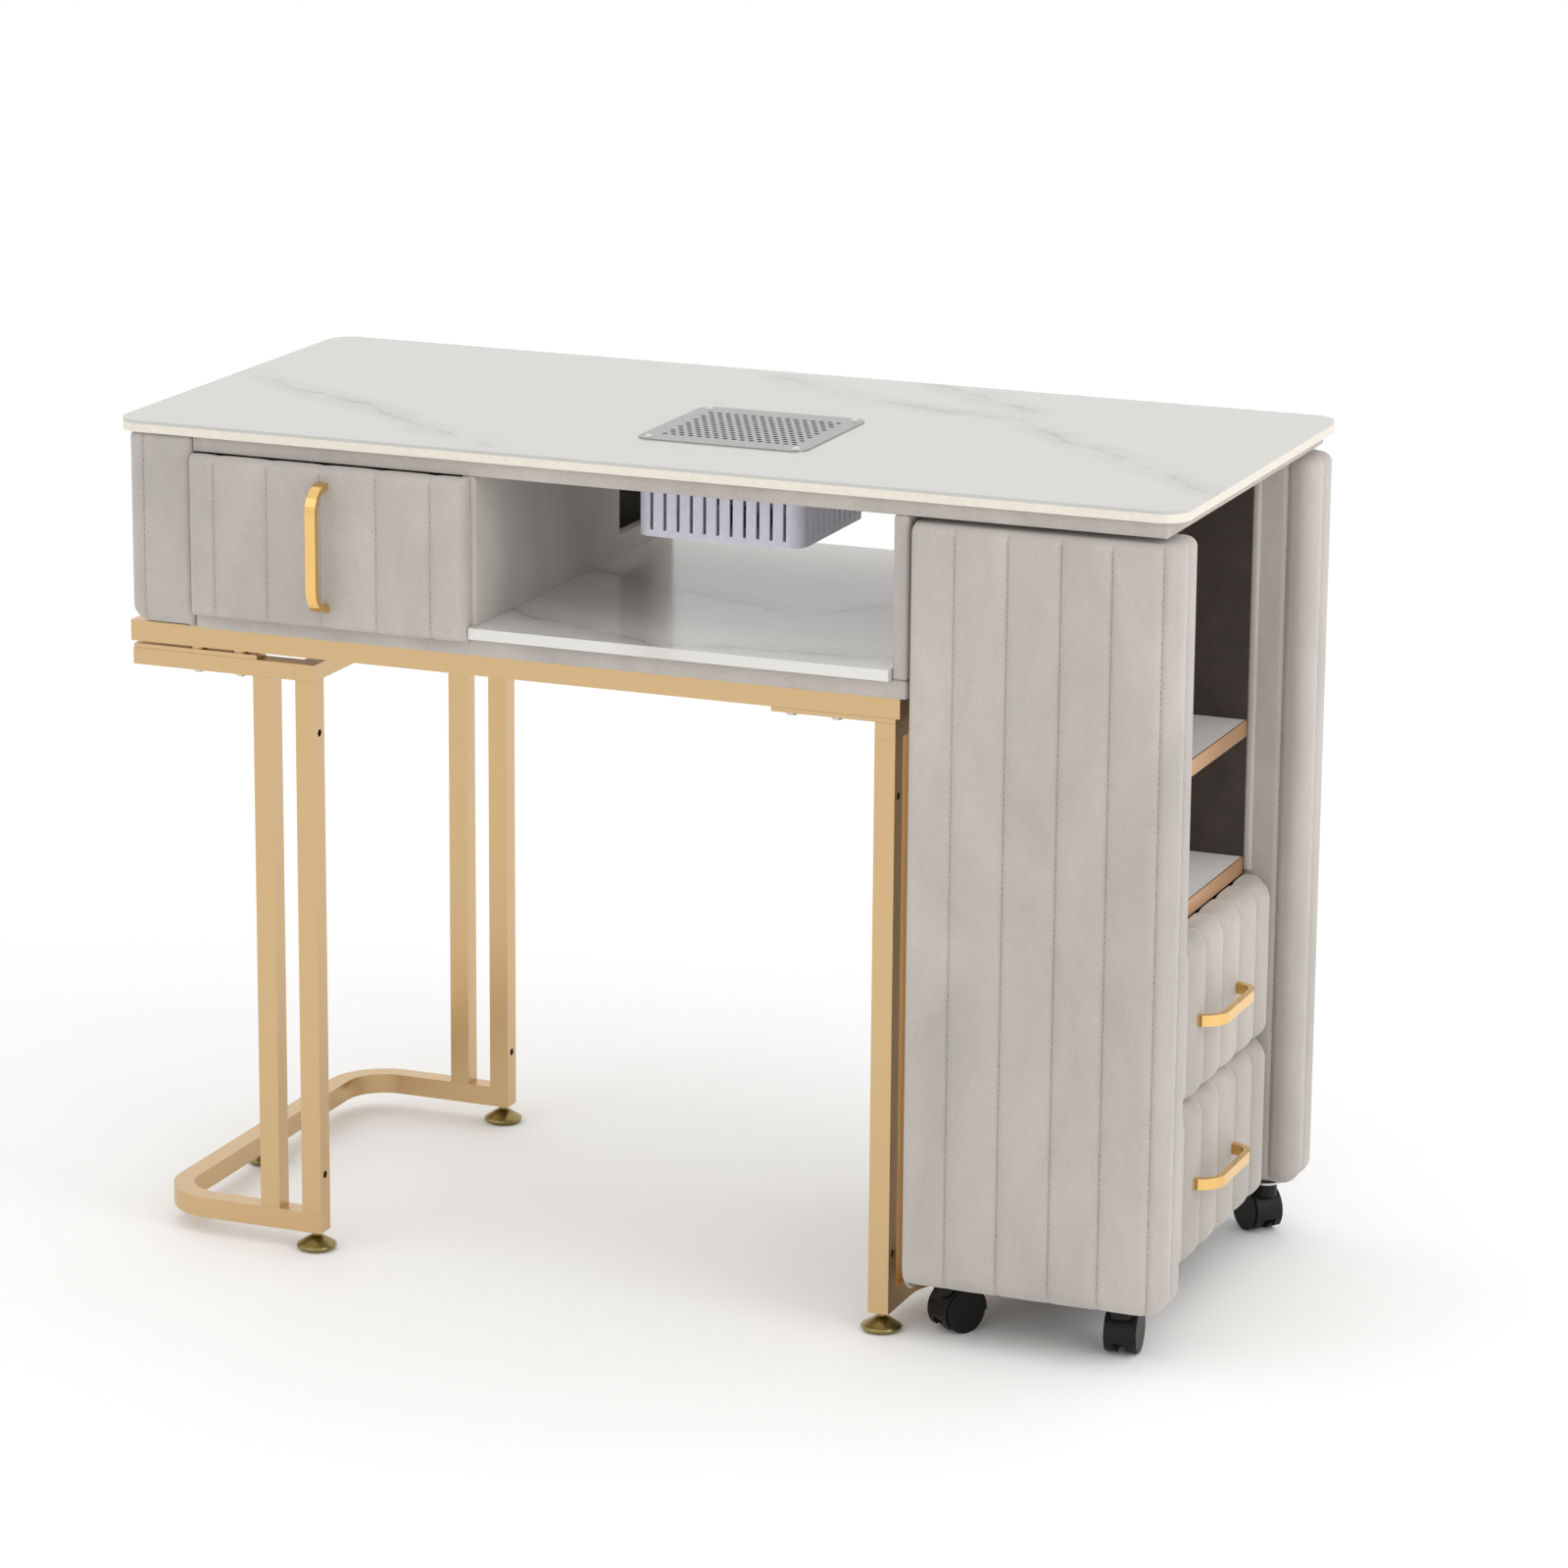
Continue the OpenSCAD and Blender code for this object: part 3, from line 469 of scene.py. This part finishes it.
def side_pad(node, radii, seam_points, swell, low_round, high_round, plain=()):
    """An upright pad: the node's plan outline with stitched channels, rounded above and below.
    plain lists (dx, dy) directions whose flat sides stay flat, where a board carries the pad."""
    lo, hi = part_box(node)
    ring = outline(lo.x, lo.y, hi.x, hi.y, radii)
    step = np.linalg.norm(np.roll(ring[:, :2], -1, 0) - ring[:, :2], axis=1)
    s = np.concatenate([[0], np.cumsum(step)[:-1]])
    total = step.sum()
    seam_at = [s[np.argmin(np.hypot(ring[:, 0] - x, ring[:, 1] - y))] for x, y in seam_points]
    rise, near = channel_rise(s, seam_at, total)
    flat = np.zeros(len(ring), bool)
    for dx, dy in plain:
        flat |= ring[:, 2] * dx + ring[:, 3] * dy > 0.97
    # The swelling fades in over the few points beside a flat side
    ease = np.where(flat, 0.0, 1.0)
    blend = 4
    kernel = np.ones(2 * blend + 1) / (2 * blend + 1)
    ease = np.convolve(np.concatenate([ease[-blend:], ease, ease[:blend]]), kernel, "valid")
    heights = np.unique(np.concatenate([
        lo.z + rounding(low_round, 9),
        hi.z - rounding(high_round, 9),
        np.arange(lo.z + low_round, hi.z - high_round, 7 * MM)]))
    phase = rng.uniform(0, 6, len(seam_at))
    seam_id = np.argmin(np.abs(s[:, None] - np.array(seam_at)[None, :]), axis=1)
    points = []
    for z in heights:
        low, high = max(0.0, low_round - (z - lo.z)), max(0.0, high_round - (hi.z - z))
        inset = low_round - math.sqrt(max(0, low_round ** 2 - low ** 2))
        inset += high_round - math.sqrt(max(0, high_round ** 2 - high ** 2))
        share = max(0.15, 1 - inset / max(low_round, high_round))
        pucker = near_seams(near, PUCKER, PUCKER_REACH) * np.sin(z / PUCKER_PITCH + phase[seam_id])
        groove = near_seams(near, -GROOVE, GROOVE_REACH)
        off = ((swell * rise + pucker + groove) * share - inset - swell * SIDE_SEAM_DEPTH) * ease
        points.append(np.column_stack(
            [ring[:, 0] + ring[:, 2] * off, ring[:, 1] + ring[:, 3] * off, np.full(len(ring), z)]))
    faces = stack_faces(len(ring), len(heights))
    obj = make_mesh(node + "_pad", np.concatenate(points), faces, VELVET)
    lines = []
    for at in seam_at:
        i = int(np.argmin(np.abs(s - at)))
        if not flat[i]:
            out = (ring[i, 2], ring[i, 3], 0)
            lines.append([(points[r][i], out) for r in range(2, len(heights) - 2)])
    return upholster(obj, node, stitches=lines)


def face_pad(node, out, across, seams, swell, edge):
    """A drawer front: a pad on a board, its face along out, stuffed in channels between seams.
    across is the horizontal direction along the face; seams are shares of its width."""
    lo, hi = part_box(node)
    out, across = Vector(out), Vector(across)
    size = hi - lo
    width, height, depth = abs(size.dot(across)), size.z, abs(size.dot(out))
    low_corner = Vector([hi[k] if across[k] < 0 or out[k] < 0 else lo[k] for k in range(3)])
    marks = [0.0] + [f * width for f in seams] + [width]

    def rounded(x, full):
        """The share of the full thickness at x, 0 at both ends and 1 past the rounded edges."""
        near = np.minimum(np.minimum(x, full - x), edge)
        return np.sqrt(np.maximum(0, 1 - (1 - near / edge) ** 2))

    spans = [np.linspace(a, b, max(8, int((b - a) / STEP))) for a, b in zip(marks[:-1], marks[1:])]
    ends = rounding(edge, 8)
    us = np.unique(np.round(np.concatenate(spans + [ends, width - ends]), 6))
    ends = rounding(edge, 9)
    vs = np.unique(np.round(np.concatenate(
        [np.arange(edge, height - edge, 4 * MM), ends, height - ends]), 6))

    i = np.clip(np.searchsorted(marks, us, side="right") - 1, 0, len(marks) - 2)
    start, stop = np.array(marks)[i], np.array(marks)[i + 1]
    rise = crown((us - start) / (stop - start))
    near_seam = np.min(np.abs(us[:, None] - np.array(marks[1:-1])[None, :]), axis=1)
    wide, tall = np.meshgrid(us, vs, indexing="ij")
    round_off = rounded(wide, width) * rounded(tall, height)

    # The board takes the back of the depth; the stuffing stands on it and is drawn in at seams
    board = depth * 0.45
    groove = near_seams(near_seam, -(0.8 * MM + 0.17 * swell), 1.8 * MM)
    fill = swell * rise + groove - swell * FACE_SEAM_DEPTH
    proud = board + (depth - board + fill[:, None]) * round_off
    pucker = near_seams(near_seam, 0.08 * swell, 8 * MM)[:, None]
    proud += pucker * np.sin(tall / (3.4 * MM) + np.round(wide / (20 * MM))) * round_off

    # Along the top and bottom edges the channels bulge a little and the seams pull inwards
    wave = (swell * 0.11 * rise - near_seams(near_seam, swell * 0.16, 5 * MM))[:, None]
    waved = tall + wave * np.where(tall > height / 2, 1, -1) * (1 - rounded(tall, height))
    grid = np.stack([wide, waved, proud], axis=-1)
    nu, nv = grid.shape[:2]

    def place(p):
        v = low_corner + across * p[0] + out * p[2]
        return (v.x, v.y, low_corner.z + p[1])

    def at(a, b, back=0):
        return back * nu * nv + a * nv + b

    points = [place(p) for row in grid for p in row]
    points += [place((p[0], p[1], 0)) for row in grid for p in row]
    faces = [(at(a, b), at(a + 1, b), at(a + 1, b + 1), at(a, b + 1))
             for a in range(nu - 1) for b in range(nv - 1)]
    faces += [(at(a, b, 1), at(a, b + 1, 1), at(a + 1, b + 1, 1), at(a + 1, b, 1))
              for a in range(nu - 1) for b in range(nv - 1)]
    for a in range(nu - 1):
        for b in (0, nv - 1):
            faces.append((at(a, b), at(a, b, 1), at(a + 1, b, 1), at(a + 1, b)))
    for b in range(nv - 1):
        for a in (0, nu - 1):
            faces.append((at(a, b), at(a, b + 1), at(a, b + 1, 1), at(a, b, 1)))
    obj = make_mesh(node + "_pad", points, faces, VELVET)
    lines = []
    for m in marks[1:-1]:
        a = int(np.argmin(np.abs(us - m)))
        lines.append([(np.array(place(grid[a, b])), np.array(out)) for b in range(4, nv - 4)])
    upholster(obj, node, stitches=lines)


def wrapped_board(node, radius):
    """A board wrapped in velvet: the CAD solid's shape with its edges rounded over."""
    source = frame["nodes"][node]
    obj = bpy.data.objects.new(node + "_wrap", source.data.copy())
    bpy.context.scene.collection.objects.link(obj)
    bm = bmesh.new()
    bm.from_mesh(obj.data)
    bmesh.ops.remove_doubles(bm, verts=bm.verts, dist=1e-6)
    bmesh.ops.dissolve_limit(bm, angle_limit=math.radians(2), verts=bm.verts, edges=bm.edges)
    sharp = [e for e in bm.edges
             if len(e.link_faces) == 2 and e.calc_face_angle(0) > math.radians(40)]
    bmesh.ops.bevel(bm, geom=sharp, offset=radius, segments=4, profile=0.5, affect="EDGES",
                    clamp_overlap=True)
    bmesh.ops.recalc_face_normals(bm, faces=bm.faces)
    bm.to_mesh(obj.data)
    bm.free()
    obj.data.materials.clear()
    obj.data.materials.append(VELVET)
    smooth(obj, 40)
    upholster(obj, node)


# The width of the cabinet sides' channels, and the roundings of upright pads
CHANNEL = 47.3 * MM
SIDE_SWELL = 2.2 * MM
CABINET_FOOT_ROUND, CABINET_HEAD_ROUND = 17 * MM, 8 * MM
PANEL_FOOT_ROUND, PANEL_HEAD_ROUND = 16 * MM, 6 * MM


def side_seams(node, outer_y, inner_y):
    """Seam points of a cabinet side: five on its outer face, one round its nose and one inside."""
    _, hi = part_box(node)
    toward = 1 if inner_y > outer_y else -1
    seams = [(hi.x - 9 * MM - CHANNEL * k, outer_y) for k in range(5)]
    return seams + [(hi.x, outer_y + toward * 36 * MM), (hi.x - 25 * MM, inner_y)]


def piping(name, parent, x0, x1, y0, y1, z0, z1):
    """An upright velvet strip with rounded edges, fixed beside a pad."""
    ring = outline(x0, y0, x1, y1, [0.45 * min(x1 - x0, y1 - y0)] * 4)
    heights = np.arange(z0, z1, 10 * MM)
    points = [(row[0], row[1], z) for z in heights for row in ring]
    obj = make_mesh(name, points, stack_faces(len(ring), len(heights)), VELVET)
    obj.parent = parent


front_lo, front_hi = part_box("cabinet_front_side")
rear_lo, rear_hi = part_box("cabinet_rear_side")
front_pad = side_pad(
    "cabinet_front_side", (4 * MM, 22 * MM, 16 * MM, 3 * MM),
    side_seams("cabinet_front_side", front_lo.y, front_hi.y),
    SIDE_SWELL, CABINET_FOOT_ROUND, CABINET_HEAD_ROUND, plain=[(-1, 0)])
rear_pad = side_pad(
    "cabinet_rear_side", (3 * MM, 16 * MM, 22 * MM, 4 * MM),
    side_seams("cabinet_rear_side", rear_hi.y, rear_lo.y),
    SIDE_SWELL, CABINET_FOOT_ROUND, CABINET_HEAD_ROUND, plain=[(-1, 0)])

# Light strips that close the gap between each pad and the dark lining beside it. They start
# above the cabinet's drawers and end under its top board.
_, lining_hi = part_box("cabinet_inner_walls")
PIPE_WIDTH, PIPE_SUNK = 6.2 * MM, 0.6 * MM
PIPE_LOW, PIPE_HIGH = 0.352, 0.728
for pad, name, y0 in ((front_pad, "front_piping", front_hi.y - PIPE_SUNK),
                      (rear_pad, "rear_piping", rear_lo.y - PIPE_WIDTH + PIPE_SUNK)):
    piping(name, pad, lining_hi.x - 1 * MM, lining_hi.x + 7 * MM, y0, y0 + PIPE_WIDTH,
           PIPE_LOW, PIPE_HIGH)

left_lo, left_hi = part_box("left_side_panel")
left_seams = [(left_lo.x + 17 * MM, left_lo.y), (left_lo.x + 17 * MM, left_hi.y)]
left_seams += [(left_lo.x, left_lo.y + (left_hi.y - left_lo.y) * k / 9) for k in range(1, 9)]
side_pad("left_side_panel", (20 * MM, 6 * MM, 6 * MM, 20 * MM), left_seams,
         SIDE_SWELL, PANEL_FOOT_ROUND, PANEL_HEAD_ROUND, plain=[(1, 0)])

# The seams of the drawer fronts, as shares of their widths
DESK_SEAMS = [0.094, 0.288, 0.482, 0.684, 0.879]
CABINET_SEAMS = [0.13, 0.28, 0.43, 0.58, 0.73, 0.88]
face_pad("desk_drawer_front", (0, -1, 0), (1, 0, 0), DESK_SEAMS, 2.4 * MM, 6 * MM)
for name in ("upper_drawer_front", "lower_drawer_front"):
    face_pad(name, (1, 0, 0), (0, 1, 0), CABINET_SEAMS, 8 * MM, 17 * MM)

# Boards wrapped in velvet, with the rounding of their edges in mm
for name, radius in (("under_top_panel", 3), ("desk_bottom_panel", 3), ("bay_partition_left", 3),
                     ("bay_partition_right", 3), ("drawer_bay_back", 2), ("cabinet_left_wall", 3),
                     ("cabinet_top_board", 2)):
    wrapped_board(name, radius * MM)


# ---------------------------------------------------------------- stage, lights and camera

def stage_mesh(name, points, faces, mat):
    """A piece of the studio, not of the object."""
    mesh = bpy.data.meshes.new(name)
    mesh.from_pydata(points, [], faces)
    obj = bpy.data.objects.new(name, mesh)
    bpy.context.scene.collection.objects.link(obj)
    mesh.materials.append(mat)


FLOOR = plastic("studio_floor", (1.0, 1.0, 1.0), 0.75, 0.0)
FLOOR_CORNERS = [(-20, -20, 0), (20, -20, 0), (20, 20, 0), (-20, 20, 0)]
stage_mesh("floor", FLOOR_CORNERS, [(0, 1, 2, 3)], FLOOR)

world = bpy.data.worlds.new("studio")
bpy.context.scene.world = world
world.use_nodes = True
world.node_tree.nodes["Background"].inputs["Color"].default_value = (1.0, 1.0, 0.995, 1)
world.node_tree.nodes["Background"].inputs["Strength"].default_value = 1.0


def area_light(name, place, aim, size, power, colour=(1, 1, 1)):
    """A soft box at place, facing aim."""
    data = bpy.data.lights.new(name, "AREA")
    data.shape = "RECTANGLE"
    data.size, data.size_y = size
    data.energy = power
    data.color = colour
    obj = bpy.data.objects.new(name, data)
    bpy.context.scene.collection.objects.link(obj)
    obj.location = place
    obj.rotation_mode = "QUATERNION"
    obj.rotation_quaternion = (Vector(aim) - Vector(place)).to_track_quat("-Z", "Y")


area_light("key", (-1.6, -3.2, 2.9), (0, 0, 0.4), (2.2, 2.2), 6, (1, 0.985, 0.965))
area_light("side", (3.4, -0.9, 2.0), (0.3, 0, 0.4), (1.6, 2.4), 26, (1, 0.99, 0.98))

# The camera: a long lens from the right of the sitter, a little above the top
EYE = Vector((1.9581, -4.7408, 1.7663))
YAW, PITCH, ROLL = 0.3804, -0.2552, 0.0080
FOCAL_PX, PHOTO_PX = 5970.1, 1600
SENSOR = 36

forward = Vector((
    -math.sin(YAW) * math.cos(PITCH), math.cos(YAW) * math.cos(PITCH), math.sin(PITCH)))
level = Vector((math.cos(YAW), math.sin(YAW), 0))
above = level.cross(forward)
right = level * math.cos(ROLL) + above * math.sin(ROLL)
up = above * math.cos(ROLL) - level * math.sin(ROLL)
camera_data = bpy.data.cameras.new("camera")
camera = bpy.data.objects.new("camera", camera_data)
bpy.context.scene.collection.objects.link(camera)
camera.matrix_world = Matrix.Translation(EYE) @ Matrix([
    [right.x, up.x, -forward.x, 0],
    [right.y, up.y, -forward.y, 0],
    [right.z, up.z, -forward.z, 0],
    [0, 0, 0, 1]])
camera_data.sensor_width = SENSOR
camera_data.lens = FOCAL_PX / PHOTO_PX * SENSOR
bpy.context.scene.camera = camera
bpy.context.scene.view_settings.view_transform = "Standard"
